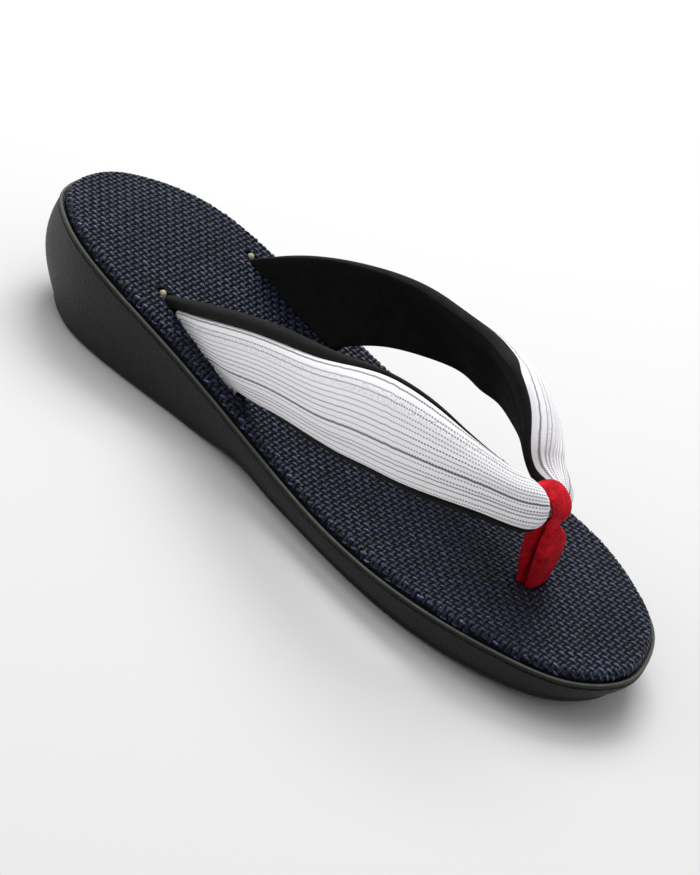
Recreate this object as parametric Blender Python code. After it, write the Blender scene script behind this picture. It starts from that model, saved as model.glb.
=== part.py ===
# A left zori sandal: a wedge sole with a woven insole, and a padded strap held by a felt toe loop.
# +Y runs from heel to toe, +X is the inner side of the foot and +Z is up. The origin is on the floor,
# under the middle of the whole. While a piece is made, y counts from the heel and x from the sole's
# middle line. Metres.

from collections import namedtuple
from math import acos, cos, pi, radians, sin

import bmesh
import bpy
import numpy as np

# Sole
LENGTH = 0.245
WIDTH = 0.0945
HEEL_HEIGHT = 0.0352  # floor to the top edge of the sole, at the heel
BALL_HEIGHT = 0.0116
TOE_HEIGHT = 0.015
TOE_SPRING = 0.005  # floor to the underside at the toe
ARCH_RISE = 0.0015
SIDE_UNDERCUT = 0.0045  # how far the side wall slopes in on its way down
HEEL_UNDERCUT = 0.0075
HEEL_BULGE = 0.0028  # the back of the heel bellies out past its top edge
HEEL_BULGE_LENGTH = 0.030
SOLE_FILLET = 0.0025
LIP_WIDTH = 0.0012
LIP_HEIGHT = 0.001  # lip above the seat of the insole
GROOVE_DEPTH = 0.0005
GROOVE_WIDTH = 0.0008

# Insole
INSOLE_THICKNESS = 0.0036
INSOLE_ROUND = 0.002

# Straps
STRAP_WIDTH = 0.030
STRAP_RISE = 0.037  # insole to the middle of the strap, where it is highest
STRAP_BOW = 0.005  # how far the middle of the strap arches out from its two edges
COVER_THICKNESS = 0.0036
LINING_THICKNESS = 0.0018
LINING_BELLY = 0.008  # how far the lining swells towards the foot, where the strap is fullest
REAR_BORDER = 0.0036  # lining that shows beside the cover along the rear edge
FRONT_BORDER = 0.0022
PIPING_HEIGHT = 0.002
NECK_BORDER = 0.12  # share of both borders left at the crossing
NECK_SPAN = 0.35  # stretch of each strap, from the crossing, where the front border widens
ROOT_SPAN = 0.28  # stretch of each strap, from the slit, where it narrows again
SLIT_LENGTH = 0.040
SLIT_TURN = radians(4.7)  # rear ends nearer the middle line
SLIT_ROOM = 0.0035  # slit left open in front of the strap, which leaves it at a slant
TAIL_DEPTH = 0.0075  # how far a strap goes in below the top of the insole
CORD_DIAMETER = 0.0024
CORD_REACH = 0.0012  # anchor cord above the insole

# Toe loop
THONG_ALONG = 0.818
THONG_OUT = 0.075
LEG_WIDTH = 0.0108
WRAP_WIDTH = 0.0092
WRAP_THICKNESS = 0.0016
LEG_THICKNESS = 0.0044
LEG_GAP = 0.0006
PINCH_DROP = 0.0008  # strap crossing to the pinch below it

CLEARANCE = 0.0003
SIDE_POINTS = 32  # points along each side of the sole
STEPS_PER_ROW = 3  # strap sections for each row of the strap tables

HALF_WIDTH = WIDTH / 2
MIDDLE_ALONG = (LENGTH - HEEL_BULGE) / 2
MIDDLE_OUT = 0.0015  # the inner strap stands out past the sole, so the whole is centred off its middle
INNER, OUTER = 1, -1

# Edge of the sole, as shares: along the length, and out from the middle line in half widths
Edge = namedtuple("Edge", "along inner outer")
OUTLINE = (
    Edge(0.00, 0.13, 0.13),
    Edge(0.02, 0.52, -0.18),
    Edge(0.06, 0.71, -0.40),
    Edge(0.12, 0.84, -0.58),
    Edge(0.20, 0.86, -0.70),
    Edge(0.30, 0.815, -0.765),
    Edge(0.40, 0.80, -0.83),
    Edge(0.50, 0.845, -0.915),
    Edge(0.60, 0.93, -0.985),
    Edge(0.70, 0.99, -0.99),
    Edge(0.80, 0.985, -0.88),
    Edge(0.90, 0.87, -0.61),
    Edge(0.96, 0.70, -0.34),
    Edge(0.99, 0.47, -0.03),
    Edge(1.00, 0.22, 0.22),
)

# Top edge of the sole: shares of the heel's rise and of the toe's rise above the ball
Rise = namedtuple("Rise", "along heel toe")
TOP_EDGE = (
    Rise(0.00, 1.00, 0.00),
    Rise(0.10, 0.93, 0.00),
    Rise(0.20, 0.72, 0.00),
    Rise(0.30, 0.47, 0.00),
    Rise(0.40, 0.235, 0.00),
    Rise(0.50, 0.07, 0.00),
    Rise(0.60, 0.00, 0.00),
    Rise(0.70, 0.00, 0.06),
    Rise(0.80, 0.00, 0.50),
    Rise(0.90, 0.00, 0.92),
    Rise(1.00, 0.00, 1.00),
)

# Underside: where it leaves the floor and comes back, along the length
ARCH_START, ARCH_END, SPRING_START = 0.36, 0.53, 0.68

# Strap sections from slit to crossing, as shares of the length, half width, strap rise, strap width,
# strap bow, cover thickness and lining belly. Lean is the tilt towards the foot, rake towards the heel.
Section = namedtuple("Section", "along out up width lean rake bow plump belly")
OUTER_STRAP = (
    Section(0.367, 0.485, 0.45, 1.22, 32, 61, 0.15, 0.70, 0.00),
    Section(0.436, 0.548, 0.71, 1.17, 32, 51, 0.40, 0.90, 0.05),
    Section(0.511, 0.556, 0.89, 1.05, 31, 35, 0.75, 1.00, 0.15),
    Section(0.562, 0.513, 0.94, 0.99, 31, 19, 0.90, 1.00, 0.30),
    Section(0.604, 0.466, 0.98, 0.98, 33, 8, 1.00, 1.00, 0.40),
    Section(0.644, 0.363, 1.00, 1.09, 35, 4, 1.00, 1.00, 0.50),
    Section(0.680, 0.243, 1.01, 1.11, 33, 5, 1.05, 1.05, 0.65),
    Section(0.724, 0.106, 0.90, 0.94, 32, 4, 1.10, 1.05, 0.75),
    Section(0.766, -0.019, 0.78, 0.62, 43, 22, 0.85, 1.05, 0.25),
    Section(0.786, -0.038, 0.75, 0.53, 50, 39, 0.60, 0.90, 0.00),
    Section(0.812, -0.163, 0.78, 0.30, 10, 49, 0.20, 0.50, 0.00),
)
CROSSING = Section(0.816, 0.273, 0.79, 0.28, -2, 45, 0.15, 0.50, 0.00)
INNER_STRAP = (
    Section(0.390, 0.677, 0.29, 1.38, 13, 71, 0.20, 0.70, 0.00),
    Section(0.502, 0.799, 0.67, 1.14, 9, 49, 0.55, 0.90, 0.00),
    Section(0.565, 0.841, 0.81, 1.07, 8, 41, 0.80, 1.00, 0.20),
    Section(0.620, 0.878, 0.94, 1.05, 7, 35, 0.85, 1.00, 0.35),
    Section(0.671, 0.894, 1.02, 1.05, 5, 33, 0.85, 1.00, 0.45),
    Section(0.715, 0.868, 1.04, 0.95, 5, 31, 0.85, 1.00, 0.55),
    Section(0.763, 0.757, 0.98, 0.77, 7, 34, 0.85, 1.00, 0.70),
    Section(0.796, 0.590, 0.88, 0.62, 7, 36, 0.80, 1.05, 0.70),
    Section(0.808, 0.466, 0.82, 0.51, 4, 42, 0.85, 1.10, 0.40),
    Section(0.814, 0.370, 0.79, 0.30, 6, 46, 0.20, 0.50, 0.00),
)
SLIT_ALONG = {INNER: 0.320, OUTER: 0.292}
SLIT_OUT = {INNER: 0.567, OUTER: 0.466}

# Stretch of each strap from the crossing where the rear border stays narrow, and where it widens
NARROW_SPAN = {INNER: 0.35, OUTER: 0.26}
WIDENING_SPAN = {INNER: 0.35, OUTER: 0.12}

# Toe loop's legs from the insole to the pinch, as shares of that rise, leg thickness and leg width
Leg = namedtuple("Leg", "up thickness width")
LEGS = (
    Leg(0.00, 0.66, 0.88),
    Leg(0.30, 0.88, 1.00),
    Leg(0.62, 1.00, 1.06),
    Leg(0.86, 0.76, 0.92),
    Leg(1.00, 0.42, 0.78),
)


def spline(knots, values):
    """Natural cubic spline through one value or one point for each knot."""
    knots = np.asarray(knots, float)
    values = np.asarray(values, float)
    step = np.diff(knots)
    system = np.eye(len(knots))
    change = np.zeros(values.shape)
    for i in range(1, len(knots) - 1):
        system[i, i - 1 : i + 2] = step[i - 1], 2 * (step[i - 1] + step[i]), step[i]
        slope_after = (values[i + 1] - values[i]) / step[i]
        slope_before = (values[i] - values[i - 1]) / step[i - 1]
        change[i] = 6 * (slope_after - slope_before)
    bend = np.linalg.solve(system, change)

    def at(place):
        i = min(max(int(np.searchsorted(knots, place)) - 1, 0), len(step) - 1)
        left = (knots[i + 1] - place) / step[i]
        right = 1 - left
        curve = (left**3 - left) * bend[i] + (right**3 - right) * bend[i + 1]
        return left * values[i] + right * values[i + 1] + curve * step[i] ** 2 / 6

    return at


def unit(vector):
    return vector / np.linalg.norm(vector)


def ease(share):
    """Smooth step from 0 to 1."""
    share = min(max(share, 0.0), 1.0)
    return share * share * (3 - 2 * share)


# The sole's own surfaces


def closed_outline():
    """Distance out from the middle line, by the angle round the outline from the heel."""
    inner = [(acos(1 - 2 * row.along), row.inner) for row in OUTLINE]
    outer = [(2 * pi - acos(1 - 2 * row.along), row.outer) for row in OUTLINE[-2:0:-1]]
    loop = inner + outer
    before = [(angle - 2 * pi, out) for angle, out in loop[-4:]]
    after = [(angle + 2 * pi, out) for angle, out in loop[:4]]
    angles, outs = zip(*(before + loop + after))
    return spline(angles, outs)


outline_out = closed_outline()
heel_share = spline([row.along for row in TOP_EDGE], [row.heel for row in TOP_EDGE])
toe_share = spline([row.along for row in TOP_EDGE], [row.toe for row in TOP_EDGE])


def edge_point(angle):
    return np.array([HALF_WIDTH * outline_out(angle), LENGTH * (1 - cos(angle)) / 2])


def top_edge(y):
    along = min(max(y / LENGTH, 0.0), 1.0)
    heel = heel_share(along) * (HEEL_HEIGHT - BALL_HEIGHT)
    return BALL_HEIGHT + heel + toe_share(along) * (TOE_HEIGHT - BALL_HEIGHT)


def underside(y):
    along = y / LENGTH
    if ARCH_START < along < ARCH_END:
        return ARCH_RISE * sin(pi * (along - ARCH_START) / (ARCH_END - ARCH_START)) ** 2
    if along > SPRING_START:
        return TOE_SPRING * ((along - SPRING_START) / (1 - SPRING_START)) ** 2
    return 0.0


def insole_seat(y):
    return top_edge(y) - LIP_HEIGHT


def insole_top(y):
    return insole_seat(y) + CLEARANCE + INSOLE_THICKNESS


def ring(inset, height):
    """Points round the sole, moved in from its edge. Both arguments may depend on the place along it."""
    points = []
    for i in range(2 * SIDE_POINTS):
        angle = i * pi / SIDE_POINTS
        nudge = pi / SIDE_POINTS / 8
        run = edge_point(angle + nudge) - edge_point(angle - nudge)
        inward = unit(np.array([-run[1], run[0]]))
        edge = edge_point(angle)
        x, y = edge + inward * inset(edge[1])
        points.append((x, y, height(y)))
    return points


def undercut(y):
    heel = ease(1 - y / (0.3 * LENGTH))
    return SIDE_UNDERCUT + (HEEL_UNDERCUT - SIDE_UNDERCUT) * heel


def wall_inset(y, share):
    """Side wall between the floor, at 0, and the groove, at 1: it bellies out as it rises."""
    bulge = HEEL_BULGE * ease(1 - y / HEEL_BULGE_LENGTH) * sin(pi * share)
    return undercut(y) * (1 - share) ** 1.6 - bulge


# Mesh making


def add_ring(bm, points):
    return [bm.verts.new(tuple(point)) for point in points]


def join_rings(bm, rings):
    """Wall of quads through closed rings that have the same number of points."""
    for low, high in zip(rings, rings[1:]):
        for i in range(len(low)):
            j = (i + 1) % len(low)
            bm.faces.new((low[i], low[j], high[j], high[i]))


def close_across(bm, loop, columns, height):
    """Closes a ring of the sole with rungs from its inner to its outer side."""
    half = len(loop) // 2
    rows = []
    for i in range(1, half):
        start, end = loop[i], loop[-i]
        row = [start]
        for column in range(1, columns):
            x, y, z = start.co.lerp(end.co, column / columns)
            row.append(bm.verts.new((x, y, height(y))))
        rows.append(row + [end])
    for low, high in zip(rows, rows[1:]):
        for i in range(columns):
            bm.faces.new((low[i], high[i], high[i + 1], low[i + 1]))
    for tip, row in ((loop[0], rows[0]), (loop[half], rows[-1])):
        for i in range(columns):
            bm.faces.new((tip, row[i], row[i + 1]))


def finish(bm, name, colour, roughness, sharp=35):
    """Makes the object, with its faces pointing out and its round parts smooth."""
    bmesh.ops.recalc_face_normals(bm, faces=bm.faces)
    bmesh.ops.translate(bm, verts=bm.verts, vec=(-MIDDLE_OUT, -MIDDLE_ALONG, 0))
    mesh = bpy.data.meshes.new(name)
    bm.to_mesh(mesh)
    bm.free()
    mesh.shade_smooth()
    mesh.set_sharp_from_angle(angle=radians(sharp))
    material = bpy.data.materials.new(name)
    material.use_nodes = True
    shader = material.node_tree.nodes["Principled BSDF"]
    shader.inputs["Base Color"].default_value = (*colour, 1)
    shader.inputs["Roughness"].default_value = roughness
    shader.inputs["Metallic"].default_value = 0
    mesh.materials.append(material)
    piece = bpy.data.objects.new(name, mesh)
    bpy.context.collection.objects.link(piece)
    return piece


def cut(piece, cutter):
    cutter.hide_render = True
    cutter.display_type = "WIRE"
    boolean = piece.modifiers.new("cut by " + cutter.name, "BOOLEAN")
    boolean.operation = "DIFFERENCE"
    boolean.solver = "EXACT"
    boolean.object = cutter


# Sole and insole


def make_sole():
    bm = bmesh.new()
    rings = []

    def add(inset, height):
        rings.append(add_ring(bm, ring(inset, height)))

    # Underside edge: a quarter round from the floor up to the side wall
    for turn in (0, 30, 60, 90):
        inward = SOLE_FILLET * (1 - sin(radians(turn)))
        up = SOLE_FILLET * (1 - cos(radians(turn)))
        add(lambda y: undercut(y) + inward, lambda y: underside(y) + up)
    for share in (0.2, 0.4, 0.6, 0.8):
        add(
            lambda y: wall_inset(y, share),
            lambda y: underside(y) + SOLE_FILLET + share * (wall_top(y) - underside(y) - SOLE_FILLET),
        )
    # Groove under the lip, the lip, and the seat inside it
    add(lambda y: 0.0, wall_top)
    add(lambda y: GROOVE_DEPTH, lambda y: wall_top(y) + GROOVE_WIDTH / 2)
    add(lambda y: 0.0, lambda y: wall_top(y) + GROOVE_WIDTH)
    add(lambda y: LIP_WIDTH / 4, top_edge)
    add(lambda y: LIP_WIDTH, top_edge)
    add(lambda y: LIP_WIDTH, insole_seat)
    join_rings(bm, rings)
    close_across(bm, rings[0], 3, underside)
    close_across(bm, rings[-1], 3, insole_seat)
    return finish(bm, "sole", (0.012, 0.012, 0.013), 0.55)


def wall_top(y):
    return top_edge(y) - LIP_HEIGHT - GROOVE_WIDTH


def make_insole():
    bm = bmesh.new()
    rim = LIP_WIDTH + CLEARANCE
    rings = [
        add_ring(bm, ring(lambda y: rim + CLEARANCE, lambda y: insole_seat(y) + CLEARANCE)),
        add_ring(bm, ring(lambda y: rim, lambda y: insole_seat(y) + 2 * CLEARANCE)),
    ]
    for turn in (0, 30, 60, 90):
        inward = INSOLE_ROUND * (1 - cos(radians(turn)))
        down = INSOLE_ROUND * (1 - sin(radians(turn)))
        rings.append(add_ring(bm, ring(lambda y: rim + inward, lambda y: insole_top(y) - down)))
    join_rings(bm, rings)
    close_across(bm, rings[0], 3, lambda y: insole_seat(y) + CLEARANCE)
    close_across(bm, rings[-1], 3, insole_top)
    return finish(bm, "insole", (0.016, 0.019, 0.038), 0.8)


# Straps


def section_centre(row, side):
    y = LENGTH * row.along
    return np.array([side * HALF_WIDTH * row.out, y, insole_top(y) + STRAP_RISE * row.up])


def section_half(row, side):
    """From the middle of a section to its rear edge."""
    lean, rake = radians(row.lean), radians(row.rake)
    toward_foot = -side * sin(lean) * cos(rake)
    return STRAP_WIDTH * row.width / 2 * np.array([toward_foot, -sin(rake), cos(lean) * cos(rake)])


def slit_centre(side):
    y = LENGTH * SLIT_ALONG[side]
    return np.array([side * HALF_WIDTH * SLIT_OUT[side], y, insole_top(y)])


def slit_half(side):
    """From the middle of a slit to its rear end, along the slope of the insole."""
    back = SLIT_LENGTH / 2 * cos(SLIT_TURN)
    x, y, z = slit_centre(side)
    slope = (insole_top(y - back) - insole_top(y + back)) / 2
    return np.array([-side * SLIT_LENGTH / 2 * sin(SLIT_TURN), -back, slope])


def slit_outward(side):
    half = slit_half(side)
    return unit(np.array([-side * half[1], side * half[0], 0.0]))


Station = namedtuple("Station", "centre half outward bow plump belly front_border rear_border across")


def strap_stations():
    """Sections from the outer slit, over the crossing, to the inner slit."""
    outer = [(row, OUTER) for row in OUTER_STRAP]
    inner = [(row, INNER) for row in INNER_STRAP[::-1]]
    rows = outer + [(CROSSING, INNER)] + inner
    centres = [slit_centre(OUTER)] + [section_centre(*row) for row in rows] + [slit_centre(INNER)]
    halves = [slit_half(OUTER)] + [section_half(*row) for row in rows] + [slit_half(INNER)]
    bows = [0.0] + [STRAP_BOW * row.bow for row, side in rows] + [0.0]
    plumps = [rows[0][0].plump] + [row.plump for row, side in rows] + [rows[-1][0].plump]
    bellies = [0.0] + [row.belly for row, side in rows] + [0.0]
    gaps = np.linalg.norm(np.diff(centres, axis=0), axis=1)
    knots = np.concatenate([[0.0], np.cumsum(gaps)])
    centre_at, half_at = spline(knots, centres), spline(knots, halves)
    bow_at, plump_at, belly_at = spline(knots, bows), spline(knots, plumps), spline(knots, bellies)
    crossing = knots[len(OUTER_STRAP) + 1]

    places = []
    for start, end in zip(knots, knots[1:]):
        places += list(np.linspace(start, end, STEPS_PER_ROW, endpoint=False))
    stations = []
    blend = 0.4 * SLIT_LENGTH
    for place in places + [knots[-1]]:
        travel = centre_at(min(place + 1e-4, knots[-1])) - centre_at(max(place - 1e-4, 0.0))
        outward = unit(np.cross(half_at(place), travel))
        across = np.linalg.norm(np.cross(half_at(place), unit(travel)))
        for side, end in ((OUTER, 0.0), (INNER, knots[-1])):
            share = ease(abs(place - end) / blend)
            outward = unit(share * outward + (1 - share) * slit_outward(side))
        side = OUTER if place < crossing else INNER
        far = abs(place - crossing) / (crossing if side == OUTER else knots[-1] - crossing)
        front = NECK_BORDER + (1 - NECK_BORDER) * ease(far / NECK_SPAN) * ease((1 - far) / ROOT_SPAN)
        rear = NECK_BORDER + (1 - NECK_BORDER) * ease((far - NARROW_SPAN[side]) / WIDENING_SPAN[side])
        shape = max(bow_at(place), 0.0), plump_at(place), max(belly_at(place), 0.0)
        borders = FRONT_BORDER * front, REAR_BORDER * rear
        stations.append(Station(centre_at(place), half_at(place), outward, *shape, *borders, across))
    return [tail(stations[0])] + stations + [tail(stations[-1])]


def tail(root):
    """The strap's end at the bottom of its slit, straight below the section at the insole."""
    down = np.array([0.0, 0.0, TAIL_DEPTH])
    return root._replace(centre=root.centre - down)


def place_section(station, profile):
    """Profile points are a share of the half section and a height in metres."""
    points = []
    for share, height in profile:
        arch = station.bow * (1 - share * share)
        points.append(station.centre + station.half * share + station.outward * (arch + height))
    return points


def cover_shares(station):
    """Where the cover starts and ends between the two borders of the lining."""
    front = -1 + (station.front_border + CLEARANCE) / station.across
    rear = 1 - (station.rear_border + CLEARANCE) / station.across
    return front, rear


BED_SHARES = (0.0, 0.2, 0.4, 0.6, 0.8, 1.0)


def cover_profile(station):
    front, rear = cover_shares(station)
    middle, half = (front + rear) / 2, (rear - front) / 2
    full = COVER_THICKNESS * station.plump
    edge = full * 0.3
    profile = []
    for turn in (-90, -72, -50, -25, 0, 25, 50, 72, 90):
        share = sin(radians(turn))
        crown = (1 - abs(share) ** 2.6) ** 0.5
        profile.append((middle + half * share, CLEARANCE + edge + (full - edge) * crown))
    for share in BED_SHARES[::-1]:
        profile.append((front + (rear - front) * share, CLEARANCE))
    return profile


def lining_profile(station):
    front, rear = cover_shares(station)
    gap = CLEARANCE / station.across
    front_border, rear_border = front - gap + 1, 1 - gap - rear
    front_piping = PIPING_HEIGHT * 0.6 * station.front_border / FRONT_BORDER
    rear_piping = PIPING_HEIGHT * station.rear_border / REAR_BORDER
    profile = [(-1.0, -LINING_THICKNESS / 2)]
    for share, height in ((0.12, 0.55), (0.45, 1.0), (0.8, 0.7)):
        profile.append((-1 + front_border * share, front_piping * height))
    for share in BED_SHARES:
        profile.append((front + (rear - front) * share, 0.0))
    for share, height in ((0.82, 0.8), (0.45, 1.0), (0.12, 0.55)):
        profile.append((1 - rear_border * share, rear_piping * height))
    profile.append((1.0, -LINING_THICKNESS / 2))
    for share in (0.96, 0.7, 0.35, 0.0, -0.35, -0.7, -0.96):
        swell = LINING_BELLY * station.belly * (1 - share * share)
        profile.append((share, -LINING_THICKNESS - swell))
    return profile


def make_band(name, profile, colour, roughness):
    bm = bmesh.new()
    rings = [add_ring(bm, place_section(station, profile(station))) for station in strap_stations()]
    join_rings(bm, rings)
    bm.faces.new(rings[0])
    bm.faces.new(rings[-1])
    return finish(bm, name, colour, roughness, sharp=50)


def prism(name, outline, axes, origin, low, high):
    """Straight cutter: an outline in two directions, from low to high along Z."""
    bm = bmesh.new()
    rings = []
    for level in (low, high):
        points = [origin + axes[0] * u + axes[1] * v + np.array([0, 0, level]) for u, v in outline]
        rings.append(add_ring(bm, points))
    join_rings(bm, rings)
    bm.faces.new(rings[0])
    bm.faces.new(rings[1])
    return finish(bm, name, (0.5, 0.5, 0.5), 0.5)


def slit_cutter(side, name):
    """Slot for a strap's tail, with room for the anchor cord at its rear end."""
    half = slit_half(side)
    length = np.linalg.norm(half)
    low = -LINING_THICKNESS - CLEARANCE
    high = COVER_THICKNESS + 2 * CLEARANCE
    front = -length - SLIT_ROOM
    rear = length + CORD_DIAMETER + 2 * CLEARANCE
    corner = 0.0008
    outline = []
    for u, v, start in ((rear, high, 0), (front, high, 90), (front, low, 180), (rear, low, 270)):
        for turn in (start, start + 45, start + 90):
            centre_u = u - corner if u > 0 else u + corner
            centre_v = v - corner if v > 0 else v + corner
            outline.append((centre_u + corner * cos(radians(turn)), centre_v + corner * sin(radians(turn))))
    axes = (unit(half), slit_outward(side))
    return prism(name, outline, axes, slit_centre(side), -TAIL_DEPTH - CLEARANCE, 2 * INSOLE_THICKNESS)


def make_anchor_cord(side, name):
    """Round cord standing behind the strap's tail, with a domed end."""
    bm = bmesh.new()
    half = slit_half(side)
    foot = slit_centre(side) + half * (1 + (CLEARANCE + CORD_DIAMETER / 2) / np.linalg.norm(half))
    foot = foot + slit_outward(side) * (COVER_THICKNESS - LINING_THICKNESS + CLEARANCE) / 2
    radius = CORD_DIAMETER / 2
    levels = [(-TAIL_DEPTH, 1.0), (CORD_REACH - radius, 1.0)]
    levels += [(CORD_REACH - radius + radius * sin(radians(t)), cos(radians(t))) for t in (35, 65)]
    rings = []
    for level, share in levels:
        points = []
        for i in range(12):
            turn = i * 2 * pi / 12
            points.append(foot + np.array([radius * share * cos(turn), radius * share * sin(turn), level]))
        rings.append(add_ring(bm, points))
    join_rings(bm, rings)
    bm.faces.new(rings[0])
    bm.faces.new(rings[-1])
    return finish(bm, name, (0.75, 0.68, 0.55), 0.8)


# Toe loop


def thong_foot():
    y = LENGTH * THONG_ALONG
    return np.array([HALF_WIDTH * THONG_OUT, y, insole_top(y)])


def neck_points():
    """Strap points inside the loop's width, seen from the side."""
    middle = HALF_WIDTH * CROSSING.out
    reach = WRAP_WIDTH / 2 + CLEARANCE
    points = []
    stations = strap_stations()
    for before, after in zip(stations, stations[1:]):
        for profile in (cover_profile, lining_profile):
            starts = place_section(before, profile(before))
            ends = place_section(after, profile(after))
            for start, end in zip(starts, ends):
                for share in (0.0, 0.25, 0.5, 0.75):
                    x, y, z = start + (end - start) * share
                    if abs(x - middle) < reach:
                        points.append((y, z))
    return np.array(points)


Turn = namedtuple("Turn", "place thickness width facing")


def loop_path():
    """Sections of the loop: up the front leg, over the strap, and down the rear leg. Facing is in y and z."""
    foot = thong_foot()
    neck = neck_points()
    top_x = HALF_WIDTH * CROSSING.out
    front_edge = section_centre(CROSSING, INNER) - section_half(CROSSING, INNER)
    pinch = np.array([front_edge[1], neck[:, 1].min() - PINCH_DROP - CLEARANCE])
    legs = {}
    for side in (1, -1):
        facing = np.array([float(side), 0.0])
        bottom = LEG_THICKNESS * LEGS[0].thickness
        place = foot + np.array([0.0, side * (LEG_GAP + bottom) / 2, -TAIL_DEPTH])
        legs[side] = [Turn(place, bottom, LEG_WIDTH * LEGS[0].width, facing)]
        for row in LEGS:
            thickness = LEG_THICKNESS * row.thickness
            x = foot[0] + (top_x - foot[0]) * row.up
            y = foot[1] + (pinch[0] - foot[1]) * row.up + side * (LEG_GAP + thickness) / 2
            z = foot[2] + (pinch[1] - foot[2]) * row.up
            legs[side].append(Turn(np.array([x, y, z]), thickness, LEG_WIDTH * row.width, facing))
    away = CLEARANCE + WRAP_THICKNESS / 2
    wrap = []
    for turn in range(-20, 221, 20):
        facing = np.array([cos(radians(turn)), sin(radians(turn))])
        y, z = neck[np.argmax(neck @ facing)] + facing * away
        wrap.append(Turn(np.array([top_x, y, z]), WRAP_THICKNESS, WRAP_WIDTH, facing))
    return legs[1] + wrap + legs[-1][::-1]


def make_toe_loop():
    bm = bmesh.new()
    rings = []
    for place, thickness, width, facing in loop_path():
        points = []
        for u, v in rounded_square(12, 0.6):
            offset = facing * v * thickness / 2
            points.append(place + np.array([u * width / 2, offset[0], offset[1]]))
        rings.append(add_ring(bm, points))
    join_rings(bm, rings)
    bm.faces.new(rings[0])
    bm.faces.new(rings[-1])
    return finish(bm, "toe_loop", (0.38, 0.012, 0.022), 0.9, sharp=60)


def rounded_square(count, power):
    """Points from -1 to 1 both ways, between a circle at power 1 and a square at power 0."""
    points = []
    for step in range(count):
        turn = step * 2 * pi / count
        u = abs(cos(turn)) ** power * (1 if cos(turn) > 0 else -1)
        v = abs(sin(turn)) ** power * (1 if sin(turn) > 0 else -1)
        points.append((u, v))
    return points


def thong_cutter(name):
    """Hole for both legs of the toe loop, as wide as they are down there."""
    half_width = LEG_WIDTH * LEGS[0].width / 2 + CLEARANCE
    half_length = LEG_GAP / 2 + LEG_THICKNESS * LEGS[0].thickness + CLEARANCE
    outline = [(half_width * u, half_length * v) for u, v in rounded_square(24, 0.4)]
    axes = (np.array([1.0, 0, 0]), np.array([0, 1.0, 0]))
    return prism(name, outline, axes, thong_foot(), -TAIL_DEPTH - CLEARANCE, 2 * INSOLE_THICKNESS)


def main():
    for leftover in list(bpy.data.objects):
        bpy.data.objects.remove(leftover, do_unlink=True)
    sole = make_sole()
    insole = make_insole()
    cutters = [
        slit_cutter(INNER, "inner slit cutter"),
        slit_cutter(OUTER, "outer slit cutter"),
        thong_cutter("thong hole cutter"),
    ]
    for cutter in cutters:
        cut(sole, cutter)
        cut(insole, cutter)
    make_band("strap_cover", cover_profile, (0.72, 0.71, 0.73), 0.8)
    make_band("strap_lining", lining_profile, (0.012, 0.012, 0.012), 0.95)
    make_anchor_cord(INNER, "anchor_cord_inner")
    make_anchor_cord(OUTER, "anchor_cord_outer")
    make_toe_loop()


main()
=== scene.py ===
from math import acos, cos, pi, radians, sin

import bmesh
import bpy
import numpy as np
from mathutils import Matrix, Vector


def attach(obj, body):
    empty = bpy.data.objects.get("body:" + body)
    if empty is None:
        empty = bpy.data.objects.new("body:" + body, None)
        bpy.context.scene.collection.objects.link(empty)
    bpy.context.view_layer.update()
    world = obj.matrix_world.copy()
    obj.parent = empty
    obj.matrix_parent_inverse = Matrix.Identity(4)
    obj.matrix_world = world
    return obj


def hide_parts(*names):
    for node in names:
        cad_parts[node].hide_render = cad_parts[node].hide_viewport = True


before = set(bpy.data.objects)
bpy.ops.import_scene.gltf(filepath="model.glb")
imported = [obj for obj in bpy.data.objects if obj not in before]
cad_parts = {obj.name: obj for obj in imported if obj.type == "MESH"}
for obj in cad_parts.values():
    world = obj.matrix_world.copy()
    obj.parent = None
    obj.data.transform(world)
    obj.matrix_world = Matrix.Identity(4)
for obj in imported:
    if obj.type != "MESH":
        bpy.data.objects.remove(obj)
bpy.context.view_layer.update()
mm = 0.001
inner, outer = 1, -1


# Small tools for curves and meshes
def smoothThrough(knots, values):
    # natural cubic spline, read at one place or many
    knots, values = np.asarray(knots, float), np.asarray(values, float)
    step = np.diff(knots)
    system, change = np.eye(len(knots)), np.zeros(values.shape)
    for i in range(1, len(knots) - 1):
        system[i, i - 1:i + 2] = step[i - 1], 2 * (step[i - 1] + step[i]), step[i]
        change[i] = 6 * ((values[i + 1] - values[i]) / step[i] - (values[i] - values[i - 1]) / step[i - 1])
    bend = np.linalg.solve(system, change)

    def at(place):
        place = np.asarray(place, float)
        i = np.clip(np.searchsorted(knots, place) - 1, 0, len(step) - 1)
        run, left = step[i], (knots[i + 1] - place) / step[i]
        if values.ndim > 1:
            run, left = run[..., None], left[..., None]
        right = 1 - left
        curve = (left ** 3 - left) * bend[i] + (right ** 3 - right) * bend[i + 1]
        return left * values[i] + right * values[i + 1] + curve * run ** 2 / 6

    return at


def ease(share):
    share = np.clip(share, 0.0, 1.0)
    return share * share * (3 - 2 * share)


def unit(vectors):
    return vectors / np.linalg.norm(vectors, axis=-1, keepdims=True)


def wallFaces(first, rows, columns):
    # quads of a wall of closed rings that start at vertex number first
    faces = []
    for r in range(rows - 1):
        for c in range(columns):
            d = (c + 1) % columns
            low, high = first + r * columns, first + (r + 1) * columns
            faces.append((low + c, low + d, high + d, high + c))
    return faces


def makeMesh(name, points, faces, material):
    mesh = bpy.data.meshes.new(name)
    mesh.from_pydata([tuple(p) for p in points], [], faces)
    mesh.materials.append(material)
    bm = bmesh.new()
    bm.from_mesh(mesh)
    bmesh.ops.remove_doubles(bm, verts=bm.verts, dist=1e-7)
    bmesh.ops.recalc_face_normals(bm, faces=bm.faces)
    bm.to_mesh(mesh)
    bm.free()
    mesh.shade_smooth()
    piece = bpy.data.objects.new(name, mesh)
    bpy.context.collection.objects.link(piece)
    return piece


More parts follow.
